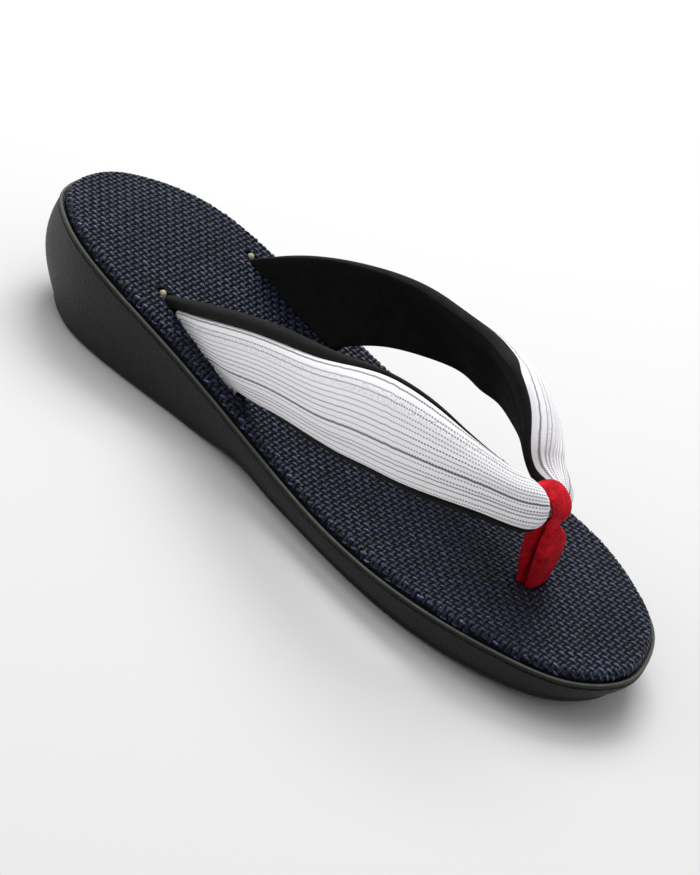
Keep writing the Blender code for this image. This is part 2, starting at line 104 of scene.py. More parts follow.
def ringsMesh(name, rings, material):
    # closed skin through rings of the same number of points, with a face on each end
    rows, columns = rings.shape[:2]
    faces = wallFaces(0, rows, columns)
    faces.append(tuple(range(columns))[::-1])
    faces.append(tuple(range((rows - 1) * columns, rows * columns)))
    return makeMesh(name, rings.reshape(-1, 3), faces, material)


def soften(piece, angle=50):
    piece.data.shade_smooth()
    piece.data.set_sharp_from_angle(angle=radians(angle))


# Materials
def linear(hexColour):
    parts = [int(hexColour[i:i + 2], 16) / 255 for i in (1, 3, 5)]
    return (*[p / 12.92 if p <= 0.04045 else ((p + 0.055) / 1.055) ** 2.4 for p in parts], 1)


def addNode(tree, kind, settings=None, links=None):
    node = tree.nodes.new(kind)
    for key, value in (settings or {}).items():
        setattr(node, key, value)
    for key, value in (links or {}).items():
        if isinstance(value, bpy.types.NodeSocket):
            tree.links.new(value, node.inputs[key])
        else:
            node.inputs[key].default_value = value
    return node


def newMaterial(name, **sockets):
    material = bpy.data.materials.new(name)
    material.use_nodes = True
    shader = material.node_tree.nodes["Principled BSDF"]
    for key, value in sockets.items():
        shader.inputs[key.replace("_", " ")].default_value = value
    return material, material.node_tree, shader


def math(tree, operation, *values):
    links = dict(enumerate(values))
    return addNode(tree, "ShaderNodeMath", {"operation": operation}, links).outputs[0]


def mixColour(tree, share, first, second):
    node = addNode(tree, "ShaderNodeMix", {"data_type": "RGBA"}, {0: share, 6: first, 7: second})
    return node.outputs[2]


def bump(tree, shader, height, distance, strength=1.0):
    node = addNode(tree, "ShaderNodeBump",
                   links={"Height": height, "Distance": distance, "Strength": strength})
    tree.links.new(node.outputs[0], shader.inputs["Normal"])


def makeSoleMaterial():
    # moulded EVA foam with a leather-grain skin: near black, with broad soft highlights
    material, tree, shader = newMaterial("grainedEva", Roughness=0.5, IOR=1.5, Specular_IOR_Level=0.3)
    place = addNode(tree, "ShaderNodeTexCoord").outputs["Object"]
    cells = addNode(tree, "ShaderNodeTexVoronoi", {"feature": "SMOOTH_F1"},
                    {"Vector": place, "Scale": 1 / (0.75 * mm), "Smoothness": 0.6}).outputs[0]
    grit = addNode(tree, "ShaderNodeTexNoise",
                   links={"Vector": place, "Scale": 1 / (0.5 * mm), "Detail": 3.0}).outputs[0]
    cloud = addNode(tree, "ShaderNodeTexNoise",
                    links={"Vector": place, "Scale": 1 / (18 * mm), "Detail": 4.0}).outputs[0]
    tree.links.new(mixColour(tree, cloud, linear("#0a0a0a"), linear("#161615")),
                   shader.inputs["Base Color"])
    grain = math(tree, "ADD", math(tree, "MULTIPLY", cells, 0.6), math(tree, "MULTIPLY", grit, 0.5))
    rough = addNode(tree, "ShaderNodeMapRange",
                    links={0: grit, 1: 0.3, 2: 0.7, 3: 0.42, 4: 0.62}).outputs[0]
    tree.links.new(rough, shader.inputs["Roughness"])
    bump(tree, shader, grain, 0.34 * mm, 0.9)
    return material


def makeLipMaterial():
    # the lip's rounded top edge: a thin dull olive-grey line, lighter than the sole as a painted highlight
    # where the edge catches light
    material, tree, shader = newMaterial("lipPaintedHighlight", Roughness=0.7)
    place = addNode(tree, "ShaderNodeTexCoord").outputs["Object"]
    cloud = addNode(tree, "ShaderNodeTexNoise",
                    links={"Vector": place, "Scale": 1 / (3 * mm), "Detail": 4.0}).outputs[0]
    tree.links.new(mixColour(tree, cloud, linear("#24241f"), linear("#55554c")),
                   shader.inputs["Base Color"])
    bump(tree, shader, cloud, 0.1 * mm, 0.5)
    return material


def makeYarnMaterial(name, dark, light, glint):
    # flat paper-like yarn, dyed navy: each float is a touch lighter or darker, with a painted highlight
    # streaked along it
    material, tree, shader = newMaterial(name, Roughness=0.5, IOR=1.5, Specular_IOR_Level=0.22)
    tint = addNode(tree, "ShaderNodeAttribute", {"attribute_name": "tint"}).outputs["Fac"]
    place = addNode(tree, "ShaderNodeTexCoord").outputs["Object"]
    fibre = addNode(tree, "ShaderNodeTexNoise",
                    links={"Vector": place, "Scale": 1 / (0.35 * mm), "Detail": 2.0}).outputs[0]
    cloud = addNode(tree, "ShaderNodeTexNoise",
                    links={"Vector": place, "Scale": 1 / (14 * mm), "Detail": 3.0}).outputs[0]
    base = mixColour(tree, tint, linear(dark), linear(light))
    # the painted highlight lies to one side or the other of the float's middle
    side = addNode(tree, "ShaderNodeAttribute", {"attribute_name": "side"}).outputs["Fac"]
    away = math(tree, "ABSOLUTE",
                math(tree, "SUBTRACT", side,
                     math(tree, "MULTIPLY", math(tree, "SUBTRACT", tint, 0.5), 0.5)))
    paintedGlint = addNode(tree, "ShaderNodeMapRange",
                     links={0: away, 1: 0.05, 2: 0.17, 3: 1.0, 4: 0.0}).outputs[0]
    broken = addNode(tree, "ShaderNodeMapRange",
                     links={0: fibre, 1: 0.4, 2: 0.58, 3: 0.15, 4: 1.0}).outputs[0]
    patch = addNode(tree, "ShaderNodeMapRange",
                    links={0: cloud, 1: 0.35, 2: 0.65, 3: 0.3, 4: 1.0}).outputs[0]
    bright = addNode(tree, "ShaderNodeMapRange", links={0: tint, 1: 0.2, 2: 0.9, 3: 0.2, 4: 1.0}).outputs[0]
    share = math(tree, "MULTIPLY", math(tree, "MULTIPLY", paintedGlint, broken),
                 math(tree, "MULTIPLY", patch, bright))
    colour = mixColour(tree, share, base, linear(glint))
    tree.links.new(colour, shader.inputs["Base Color"])
    rough = addNode(tree, "ShaderNodeMapRange",
                    links={0: fibre, 1: 0.3, 2: 0.7, 3: 0.3, 4: 0.62}).outputs[0]
    tree.links.new(rough, shader.inputs["Roughness"])
    bump(tree, shader, fibre, 0.12 * mm, 0.6)
    return material


def makeFeltMaterial(name, dark, light, sheen, sheenWeight, nap):
    # pressed wool felt: matte, with short fibres that catch light at the edges
    material, tree, shader = newMaterial(name, Roughness=0.95, Sheen_Weight=sheenWeight, Sheen_Roughness=0.5,
                                         Sheen_Tint=linear(sheen), Specular_IOR_Level=0.2)
    place = addNode(tree, "ShaderNodeTexCoord").outputs["Object"]
    fibres = addNode(tree, "ShaderNodeTexNoise",
                     links={"Vector": place, "Scale": 1 / (0.9 * mm), "Detail": 5.0, "Roughness": 0.75,
                            "Distortion": 0.8}).outputs[0]
    cloud = addNode(tree, "ShaderNodeTexNoise",
                    links={"Vector": place, "Scale": 1 / (4 * mm), "Detail": 4.0}).outputs[0]
    share = addNode(tree, "ShaderNodeMapRange",
                    links={0: math(tree, "ADD", math(tree, "MULTIPLY", fibres, 0.6),
                                   math(tree, "MULTIPLY", cloud, 0.4)),
                           1: 0.4, 2: 0.6}).outputs[0]
    tree.links.new(mixColour(tree, share, linear(dark), linear(light)), shader.inputs["Base Color"])
    bump(tree, shader, fibres, nap)
    return material


stripes = dict(
    count=16,  # fine lines across the face of the strap
    lineWidth=0.36 * mm,
    dotPitch=0.75 * mm,
    strongAt=0.40,  # place of the navy stripe, from the front edge to the rear one
    strongWidth=0.55 * mm,
    slubFrom=0.79, slubTo=0.91,  # band of mottled weave along the rear edge
    threadPitch=0.42 * mm,
)


def makeStripedMaterial():
    # yarn-dyed cotton, plain woven: cool white ground, fine dotted slate lines and one navy stripe lengthwise
    material, tree, shader = newMaterial("stripedCotton", Roughness=0.85, Sheen_Weight=0.15,
                                         Specular_IOR_Level=0.3)
    uv = addNode(tree, "ShaderNodeUVMap", {"uv_map": "cloth"}).outputs[0]
    parts = addNode(tree, "ShaderNodeSeparateXYZ", links={0: uv})
    across, along = parts.outputs[0], parts.outputs[1]
    width = addNode(tree, "ShaderNodeAttribute", {"attribute_name": "clothWidth"}).outputs["Fac"]
    wobble = addNode(tree, "ShaderNodeTexNoise", {"noise_dimensions": "1D"},
                     {"W": math(tree, "MULTIPLY", along, 90.0), "Detail": 2.0}).outputs[0]
    moved = math(tree, "ADD", across, math(tree, "MULTIPLY", math(tree, "SUBTRACT", wobble, 0.5), 0.012))
    scaled = math(tree, "MULTIPLY", moved, float(stripes["count"]))
    cell = math(tree, "FLOOR", scaled)
    chance = addNode(tree, "ShaderNodeTexWhiteNoise", {"noise_dimensions": "1D"}, {"W": cell})
    pick = addNode(tree, "ShaderNodeSeparateColor", links={0: chance.outputs["Color"]})
    offset = math(tree, "ADD", math(tree, "MULTIPLY", pick.outputs[0], 0.3), 0.35)
    away = math(tree, "ABSOLUTE", math(tree, "SUBTRACT", math(tree, "FRACT", scaled), offset))
    awayMetres = math(tree, "MULTIPLY", math(tree, "DIVIDE", away, float(stripes["count"])), width)
    line = addNode(tree, "ShaderNodeMapRange",
                   links={0: awayMetres, 1: 0.3 * stripes["lineWidth"], 2: 0.7 * stripes["lineWidth"],
                          3: 1.0, 4: 0.0}).outputs[0]
    dotPhase = math(tree, "FRACT",
                    math(tree, "ADD", math(tree, "DIVIDE", along, stripes["dotPitch"]), pick.outputs[1]))
    dots = addNode(tree, "ShaderNodeMapRange",
                   links={0: math(tree, "ABSOLUTE", math(tree, "SUBTRACT", dotPhase, 0.5)), 1: 0.24,
                          2: 0.34, 3: 1.0, 4: 0.12}).outputs[0]
    solid = math(tree, "GREATER_THAN", pick.outputs[2], 0.7)
    dotted = math(tree, "MAXIMUM", dots, math(tree, "MULTIPLY", solid, 0.55))
    strength = math(tree, "ADD", math(tree, "MULTIPLY", pick.outputs[1], 0.4), 0.6)
    fine = math(tree, "MULTIPLY", math(tree, "MULTIPLY", line, dotted), strength)
    strongAway = math(tree, "MULTIPLY",
                      math(tree, "ABSOLUTE", math(tree, "SUBTRACT", moved, stripes["strongAt"])), width)
    strong = addNode(tree, "ShaderNodeMapRange",
                     links={0: strongAway, 1: 0.3 * stripes["strongWidth"], 2: 0.6 * stripes["strongWidth"],
                            3: 0.85, 4: 0.0}).outputs[0]
    # plain weave: threads across and along, too fine in life to show, drawn a little coarse
    threadAcross = math(tree, "DIVIDE", math(tree, "MULTIPLY", across, width), stripes["threadPitch"])
    threadAlong = math(tree, "DIVIDE", along, stripes["threadPitch"])
    threads = addNode(tree, "ShaderNodeCombineXYZ", links={0: threadAcross, 1: threadAlong}).outputs[0]
    waveA = math(tree, "SINE", math(tree, "MULTIPLY", threadAcross, 2 * pi))
    waveB = math(tree, "SINE", math(tree, "MULTIPLY", threadAlong, 2 * pi))
    weave = math(tree, "MULTIPLY", waveA, waveB)
    slub = addNode(tree, "ShaderNodeTexNoise", {"noise_dimensions": "2D"},
                   {"Vector": threads, "Scale": 0.8, "Detail": 2.0, "Roughness": 0.7}).outputs[0]
    bandStart = addNode(tree, "ShaderNodeMapRange",
                        links={0: across, 1: stripes["slubFrom"] - 0.01,
                               2: stripes["slubFrom"] + 0.01}).outputs[0]
    bandEnd = addNode(tree, "ShaderNodeMapRange",
                      links={0: across, 1: stripes["slubTo"] - 0.01, 2: stripes["slubTo"] + 0.01, 3: 1.0,
                             4: 0.0}).outputs[0]
    inBand = math(tree, "MULTIPLY", bandStart, bandEnd)
    speck = addNode(tree, "ShaderNodeMapRange", links={0: slub, 1: 0.5, 2: 0.72, 3: 0.0, 4: 1.0}).outputs[0]
    mottle = math(tree, "MULTIPLY", speck, math(tree, "ADD", math(tree, "MULTIPLY", inBand, 0.65), 0.07))
    ground = mixColour(tree, mottle, linear("#f3f1f4"), linear("#8b898f"))
    lined = mixColour(tree, fine, ground, linear("#1f1d33"))
    tree.links.new(mixColour(tree, strong, lined, linear("#23264f")), shader.inputs["Base Color"])
    height = math(tree, "ADD", math(tree, "MULTIPLY", weave, 0.5), math(tree, "MULTIPLY", slub, 0.7))
    bump(tree, shader, height, 0.09 * mm, 0.6)
    return material


def makeCordMaterial():
    # undyed cotton cord, twisted: dull cream, with painted shade darkening the furrows
    material, tree, shader = newMaterial("twistedCotton", Roughness=0.9)
    place = addNode(tree, "ShaderNodeTexCoord").outputs["Object"]
    fibres = addNode(tree, "ShaderNodeTexNoise",
                     links={"Vector": place, "Scale": 1 / (0.4 * mm), "Detail": 4.0}).outputs[0]
    # painted shade: the olive tone falls where the bump is low
    tree.links.new(mixColour(tree, fibres, linear("#6f6850"), linear("#d8ccab")),
                   shader.inputs["Base Color"])
    bump(tree, shader, fibres, 0.1 * mm, 0.6)
    return material


soleMaterial = makeSoleMaterial()
lipMaterial = makeLipMaterial()
# the third colour of each yarn is its painted glint
lengthYarn = makeYarnMaterial("navyYarnLengthwise", "#050a1c", "#0a1632", "#8e98b2")
crossYarn = makeYarnMaterial("navyYarnCrosswise", "#03050f", "#070d20", "#333d58")
coreMaterial = makeFeltMaterial("insoleCore", "#05060a", "#0b0d15", "#101018", 0.0, 0.1 * mm)
stripedCotton = makeStripedMaterial()
blackFelt = makeFeltMaterial("blackFelt", "#0a0909", "#171615", "#6a6560", 0.12, 0.25 * mm)
redFelt = makeFeltMaterial("crimsonFelt", "#86000b", "#e01026", "#d02030", 0.1, 0.5 * mm)
cordMaterial = makeCordMaterial()
print("materials ready")


# Sole
sole = dict(
    length=0.245, width=0.0945, heelHeight=0.0352, ballHeight=0.0116, toeHeight=0.015, toeSpring=0.005,
    archRise=0.0015, sideUndercut=0.0045, heelUndercut=0.0075, heelBulge=0.0028, heelBulgeLength=0.030,
    fillet=0.0025, lipWidth=0.0012, lipHeight=0.001, grooveDepth=0.0005, grooveWidth=0.0008,
    pointsAround=480, treadPitch=0.0075, treadDepth=0.0007,
)
clearance = 0.3 * mm
middleOut, middleAlong = 0.0015, (sole["length"] - sole["heelBulge"]) / 2
archStart, archEnd, springStart = 0.36, 0.53, 0.68
# along the length, then inner and outer edge in half widths
outline = [(0, .13,
            .13), (.02, .52,
                   -.18), (.06, .71, -.40), (.12, .84, -.58), (.20, .86, -.70), (.30, .815, -.765),
           (.40, .80, -.83), (.50, .845, -.915), (.60, .93, -.985), (.70, .99, -.99), (.80, .985, -.88),
           (.90, .87, -.61), (.96, .70, -.34), (.99, .47, -.03), (1, .22, .22)]
# along the length, then share of the heel's rise and of the toe's
topLine = [(0, 1, 0), (.1, .93, 0), (.2, .72, 0), (.3, .47, 0), (.4, .235, 0), (.5, .07, 0), (.6, 0, 0),
           (.7, 0, .06), (.8, 0, .5), (.9, 0, .92), (1, 0, 1)]


def closedOutline():
    loop = [(acos(1 - 2 * along), a) for along, a, b in outline]
    loop += [(2 * pi - acos(1 - 2 * along), b) for along, a, b in outline[-2:0:-1]]
    before = [(angle - 2 * pi, out) for angle, out in loop[-4:]]
    after = [(angle + 2 * pi, out) for angle, out in loop[:4]]
    angles, outs = zip(*(before + loop + after))
    return smoothThrough(angles, outs)


outlineOut = closedOutline()
heelShare = smoothThrough([row[0] for row in topLine], [row[1] for row in topLine])
toeShare = smoothThrough([row[0] for row in topLine], [row[2] for row in topLine])


def edgePoint(angle):
    angle = np.asarray(angle, float)
    return np.stack([sole["width"] / 2 * outlineOut(angle), sole["length"] * (1 - np.cos(angle)) / 2], -1)


def topEdge(y):
    along = np.clip(np.asarray(y, float) / sole["length"], 0, 1)
    heel = heelShare(along) * (sole["heelHeight"] - sole["ballHeight"])
    return sole["ballHeight"] + heel + toeShare(along) * (sole["toeHeight"] - sole["ballHeight"])


def underside(y):
    along = np.asarray(y, float) / sole["length"]
    arch = np.where((along > archStart) & (along < archEnd),
                    sole["archRise"] * np.sin(pi * (along - archStart) / (archEnd - archStart)) ** 2, 0)
    return arch + np.where(along > springStart,
                           sole["toeSpring"] * ((along - springStart) / (1 - springStart)) ** 2, 0)


def insoleSeat(y):
    return topEdge(y) - sole["lipHeight"]


def edgeRing(inset, height):
    count = sole["pointsAround"]
    angle = np.arange(count) * 2 * pi / count
    nudge = pi / 256
    run = edgePoint(angle + nudge) - edgePoint(angle - nudge)
    inward = unit(np.stack([-run[:, 1], run[:, 0]], -1))
    edge = edgePoint(angle)
    flat = edge + inward * np.broadcast_to(inset(edge[:, 1]), (count,))[:, None]
    return np.column_stack([flat, np.broadcast_to(height(flat[:, 1]), (count,))])


def undercut(y):
    extra = (sole["heelUndercut"] - sole["sideUndercut"]) * ease(1 - y / (0.3 * sole["length"]))
    return sole["sideUndercut"] + extra


def wallInset(y, share):
    bulge = sole["heelBulge"] * ease(1 - y / sole["heelBulgeLength"]) * sin(pi * share)
    return undercut(y) * (1 - share) ** 1.6 - bulge


def wallTop(y):
    return topEdge(y) - sole["lipHeight"] - sole["grooveWidth"]


def wallHeight(y, share):
    rise = wallTop(y) - underside(y) - sole["fillet"]
    return underside(y) + sole["fillet"] + share * rise


def across(points, faces, first, count, columns, height):
    # closes a ring with rungs from its inner to its outer side
    half = count // 2
    rows = []
    for i in range(1, half):
        start, end = points[first + i], points[first + count - i]
        row = [first + i]
        for column in range(1, columns):
            x, y, z = start + (end - start) * column / columns
            row.append(len(points))
            points.append(np.array([x, y, height(y, column / columns)]))
        rows.append(row + [first + count - i])
    for low, high in zip(rows, rows[1:]):
        for i in range(columns):
            faces.append((low[i], high[i], high[i + 1], low[i + 1]))
    for tip, row in ((first, rows[0]), (first + half, rows[-1])):
        for i in range(columns):
            faces.append((tip, row[i], row[i + 1]))


def placeIt(points):
    return np.asarray(points) - np.array([middleOut, middleAlong, 0])


def treadHeight(y, share):
    # shallow ribs across the heel and the ball, inside a plain rim
    along = y / sole["length"]
    heelZone = ease((along - 0.04) / 0.02) * ease((archStart - 0.02 - along) / 0.02)
    ballZone = ease((along - archEnd - 0.02) / 0.02) * ease((0.93 - along) / 0.02)
    rim = ease((share - 0.08) / 0.04) * ease((0.92 - share) / 0.04)
    wave = 0.5 + 0.5 * sin(2 * pi * y / sole["treadPitch"])
    rib = float((heelZone + ballZone) * rim) * float(ease((wave - 0.35) / 0.3))
    return float(underside(y)) + sole["treadDepth"] * rib


def soleRings():
    rings = []
    for turn in range(0, 91, 15):
        inward, up = sole["fillet"] * (1 - sin(radians(turn))), sole["fillet"] * (1 - cos(radians(turn)))
        rings.append(edgeRing(lambda y: undercut(y) + inward, lambda y: underside(y) + up))
    for share in np.linspace(0, 1, 14)[1:]:
        rings.append(edgeRing(lambda y: wallInset(y, share), lambda y: wallHeight(y, share)))
    # groove, then the lip that rolls over the insole's edge
    for depth, up in ((0.5, 0.15), (1.0, 0.5), (0.5, 0.85)):
        rings.append(edgeRing(lambda y: sole["grooveDepth"] * depth,
                              lambda y: wallTop(y) + sole["grooveWidth"] * up))
    lip = [(0.0, 0.0), (-0.04, 0.35), (0.05, 0.75), (0.25, 1.0), (0.6, 1.05), (0.9, 0.95), (1.0, 0.7),
           (1.0, 0.0)]
    for out, up in lip:
        rings.append(edgeRing(lambda y: sole["lipWidth"] * out,
                              lambda y: insoleSeat(y) + sole["lipHeight"] * up))
    return rings, len(lip)


def makeSole():
    rings, lipRings = soleRings()
    count = sole["pointsAround"]
    points = [p for ring in rings for p in placeIt(ring)]
    faces = wallFaces(0, len(rings), count)
    lipFirst = (len(rings) - lipRings) * count
    across(points, faces, 0, count, 40, lambda y, share: treadHeight(y + middleAlong, share))
    across(points, faces, (len(rings) - 1) * count, count, 6,
           lambda y, share: float(insoleSeat(y + middleAlong)))
    piece = makeMesh("sole_body", points, faces, soleMaterial)
    piece.data.materials.append(lipMaterial)
    # the lip's top faces take the painted highlight
    firstLipFace = lipFirst + 2 * count
    for polygon in piece.data.polygons:
        if firstLipFace <= polygon.index < firstLipFace + 2 * count:
            polygon.material_index = 1
    return piece


# Places where the straps and the toe loop go through
slit = dict(length=0.040, turn=radians(4.7), tailDepth=0.0075,
            along={inner: 0.320, outer: 0.292}, out={inner: 0.567, outer: 0.466})
insoleSizes = dict(thickness=0.0036, roundness=0.002, coreDrop=0.00035)
strap = dict(width=0.030, rise=0.037, bow=0.005, cover=0.0036, lining=0.0018, belly=0.008, rearBorder=0.0036,
             frontBorder=0.0022, piping=0.002, neckBorder=0.12, neckSpan=0.35, rootSpan=0.28, sections=420,
             narrowSpan={inner: 0.35, outer: 0.26}, wideningSpan={inner: 0.35, outer: 0.12})
cordSizes = dict(diameter=0.0024, reach=0.0006)
loop = dict(along=0.818, out=0.075, legWidth=0.0108, legThickness=0.0044, legGap=0.0006,
            wrapWidth=0.0092, wrapThickness=0.0016, pinchDrop=0.0008)


def insoleTop(y):
    return insoleSeat(y) + clearance + insoleSizes["thickness"]


def slitCentre(side):
    y = sole["length"] * slit["along"][side]
    return np.array([side * sole["width"] / 2 * slit["out"][side], y, float(insoleTop(y))])


def slitHalf(side):
    back = slit["length"] / 2 * cos(slit["turn"])
    y = slitCentre(side)[1]
    slope = float(insoleTop(y - back) - insoleTop(y + back)) / 2
    return np.array([-side * slit["length"] / 2 * sin(slit["turn"]), -back, slope])


def slitOutward(side):
    half = slitHalf(side)
    return unit(np.array([-side * half[1], side * half[0], 0.0]))


def slitBox(side):
    # unit run of the slit in plan, and its reach to the rear, front, outward and inward
    half = slitHalf(side)
    length = float(np.linalg.norm(half))
    return unit(half[:2]), (length + cordSizes["diameter"] + 2 * clearance, length + clearance,
                            0.7 * strap["cover"] + 1.6 * clearance, strap["lining"] + clearance)


def cordPlace(side):
    # where the strap's slot ends, and the middle and half width of the cord's slot behind it
    length = float(np.linalg.norm(slitHalf(side)))
    middle = (strap["cover"] - strap["lining"] + clearance) / 2
    return length + clearance, middle, cordSizes["diameter"] / 2 + clearance


def thongFoot():
    y = sole["length"] * loop["along"]
    return np.array([sole["width"] / 2 * loop["out"], y, float(insoleTop(y))])


def prism(name, outlinePoints, low, high):
    rings = np.array([[(x, y, z) for x, y in outlinePoints] for z in (low, high)])
    return ringsMesh(name, placeIt(rings), soleMaterial)


def makeCutters():
    cutters = []
    for side in (inner, outer):
        run, (rear, front, out, toFoot) = slitBox(side)
        outward = slitOutward(side)[:2]
        centre = slitCentre(side)
        strapEnd, cordMiddle, cordHalf = cordPlace(side)
        corners = []
        for u, v in ((rear,
                      cordMiddle + cordHalf), (strapEnd,
                                               cordMiddle + cordHalf), (strapEnd, out), (-front, out),
                     (-front,
                      -toFoot), (strapEnd,
                                 -toFoot), (strapEnd,
                                            cordMiddle - cordHalf), (rear, cordMiddle - cordHalf)):
            corners.append(centre[:2] + run * u + outward * v)
        cutters.append(prism("slitCutter", corners, centre[2] - slit["tailDepth"] - clearance - 0.004,
                             centre[2] + 0.02))
    foot = thongFoot()
    # room for the legs at their feet, as the first row of legRows has them
    halfWidth = loop["legWidth"] * 0.44 + clearance
    halfLength = loop["legGap"] / 2 + loop["legThickness"] * 0.66 + clearance
    ringPoints = [foot[:2] + np.array([halfWidth * u, halfLength * v]) for u, v in roundedSquare(40, 0.4)]
    cutters.append(prism("thongCutter", ringPoints, foot[2] - slit["tailDepth"] - clearance,
                         foot[2] + 0.02))
    return cutters


def roundedSquare(count, power):
    points = []
    for step in range(count):
        turn = step * 2 * pi / count
        u = abs(cos(turn)) ** power * (1 if cos(turn) > 0 else -1)
        v = abs(sin(turn)) ** power * (1 if sin(turn) > 0 else -1)
        points.append((u, v))
    return points


def cutAll(piece, cutters):
    for cutter in cutters:
        modifier = piece.modifiers.new("cut", "BOOLEAN")
        modifier.operation, modifier.solver, modifier.object = "DIFFERENCE", "EXACT", cutter
    piece.data = meshOf(piece)
    piece.modifiers.clear()


def meshOf(piece):
    graph = bpy.context.evaluated_depsgraph_get()
    return bpy.data.meshes.new_from_object(piece.evaluated_get(graph))


def dress(piece, node):
    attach(piece, "root")
    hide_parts(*node)


cutters = makeCutters()
soleBody = makeSole()
cutAll(soleBody, cutters)
soften(soleBody, 40)
dress(soleBody, ["sole"])
print("sole ready")


# Insole: a dark core, and the woven sheet over it
def makeInsoleCore():
    rim = sole["lipWidth"] + clearance
    drop, count = insoleSizes["coreDrop"], sole["pointsAround"]
    rings = [edgeRing(lambda y: rim + clearance, lambda y: insoleSeat(y) + clearance),
             edgeRing(lambda y: rim + drop, lambda y: insoleSeat(y) + 2 * clearance)]
    for turn in range(0, 91, 15):
        inward = drop + insoleSizes["roundness"] * (1 - cos(radians(turn)))
        down = drop + insoleSizes["roundness"] * (1 - sin(radians(turn)))
        rings.append(edgeRing(lambda y: rim + inward, lambda y: insoleTop(y) - down))
    points = [p for ring in rings for p in placeIt(ring)]
    faces = wallFaces(0, len(rings), count)
    across(points, faces, 0, count, 6, lambda y, share: float(insoleSeat(y + middleAlong)) + clearance)
    across(points, faces, (len(rings) - 1) * count, count, 30,
           lambda y, share: float(insoleTop(y + middleAlong)) - drop)
    return makeMesh("insole_core", points, faces, coreMaterial)


insoleCore = makeInsoleCore()
cutAll(insoleCore, cutters)
soften(insoleCore, 40)
dress(insoleCore, ["insole"])

weave = dict(
    columnPitch=2.2 * mm, rowPitch=1.85 * mm,  # measured across the lengthwise and the crosswise yarns
    turn=radians(9),  # the sheet was cut a little off the shoe's length
    lengthFactor=1.22, widthFactor=0.74, rise=0.40 * mm, sink=0.28 * mm,
    shoulder=0.35, body=0.45, taper=1.1,  # fall of the sides, depth below, and narrowing to the ends
    jitter=0.06, lean=0.05, stretch=(0.9, 1.08), seed=7,
)


def weavePoints():
    # one point for each place where a yarn comes to the top: place, facing, run, size, tint
    rng = np.random.default_rng(weave["seed"])
    angles = np.arange(1440) * 2 * pi / 1440
    edge = edgePoint(angles)
    run = edgePoint(angles + 0.002) - edgePoint(angles - 0.002)
    inward = unit(np.stack([-run[:, 1], run[:, 0]], -1))
    along = np.array([-sin(weave["turn"]), cos(weave["turn"])])
    crossDirection = np.array([cos(weave["turn"]), sin(weave["turn"])])
    rim, roundness = sole["lipWidth"] + clearance, insoleSizes["roundness"]
    reach = roundness * pi / 2 + insoleSizes["thickness"] - roundness - 0.9 * mm
    margin = 4.75 * mm  # how far past the outline a point is still looked at
    found = {True: [], False: []}
    for row in range(-4, 140):
        for column in range(-40, 44):
            lengthwise = (row + column) % 2 == 0
            jitter = rng.uniform(-weave["jitter"], weave["jitter"], 2)
            tint = rng.uniform(0, 1)
            lean = rng.uniform(-weave["lean"], weave["lean"])
            stretch = rng.uniform(*weave["stretch"], 2)
            q = along * (row + jitter[0]) * weave["rowPitch"]
            q = q + crossDirection * (column + jitter[1]) * weave["columnPitch"]
            if not (-margin < q[1] < sole["length"] + margin and abs(q[0]) < sole["width"] / 2 + margin):
                continue
            nearest = int(np.argmin(((edge - q) ** 2).sum(1)))
            inset = float((q - edge[nearest]) @ inward[nearest])
            beyond = rim + roundness - inset
            if beyond > reach:
                continue
            main, other = (along, crossDirection) if lengthwise else (crossDirection, along)
            direction = main + lean * other
            if beyond <= 0:
                slope = float(insoleTop(q[1] + 5e-4) - insoleTop(q[1] - 5e-4)) / 1e-3
                place = np.array([*q, float(insoleTop(q[1]))])
                facing = np.array([0, -slope, 1.0])
                direction3 = np.array([*direction, direction[1] * slope])
                if nearOpening(q):
                    continue
            else:
                turn = min(beyond / roundness, pi / 2)
                down = roundness * (1 - cos(turn)) + max(beyond - roundness * pi / 2, 0)
                spot = edge[nearest] + inward[nearest] * (rim + roundness * (1 - sin(turn)))
                place = np.array([*spot, float(insoleTop(spot[1])) - down])
                out = -inward[nearest]
                facing = np.array([*(out * sin(turn)), cos(turn)])
                beside = np.array([-out[1], out[0]])
                level = np.array([*(beside * (direction @ beside)), 0])
                direction3 = level + (direction @ out) * np.array([*(out * cos(turn)), -sin(turn)])
            length = weave["rowPitch"] if lengthwise else weave["columnPitch"]
            width = weave["columnPitch"] if lengthwise else weave["rowPitch"]
            short = 0.65 if beyond <= 0 and nearOpening(q, 0.8 * mm) else 1.0
            # flatter and closer where the sheet goes over the edge
            flat = ease((beyond + roundness) / (2 * roundness))
            size = (length * weave["lengthFactor"] * stretch[0] * short,
                    width * weave["widthFactor"] * stretch[1], weave["rise"] * (1 - 0.3 * flat))
            facing = unit(facing)
            depth = weave["sink"] + 0.1 * mm * float(flat)
            found[lengthwise].append((placeIt(place) - facing * depth, facing, direction3, size, tint))
    return found


def nearOpening(q, margin=0.0):
    for side in (inner, outer):
        run, (rear, front, out, toFoot) = slitBox(side)
        strapEnd, cordMiddle, cordHalf = cordPlace(side)
        away = q - slitCentre(side)[:2]
        u, v = float(away @ run), float(away @ slitOutward(side)[:2])
        if -front - margin < u < strapEnd + margin and -toFoot - margin < v < out + margin:
            return True
        if 0 < u < rear + margin and abs(v - cordMiddle) < cordHalf + margin:
            return True
    away = np.abs(q - thongFoot()[:2])
    return bool(away[0] < loop["legWidth"] * 0.5 + margin and away[1] < loop["legThickness"] * 0.8 + margin)


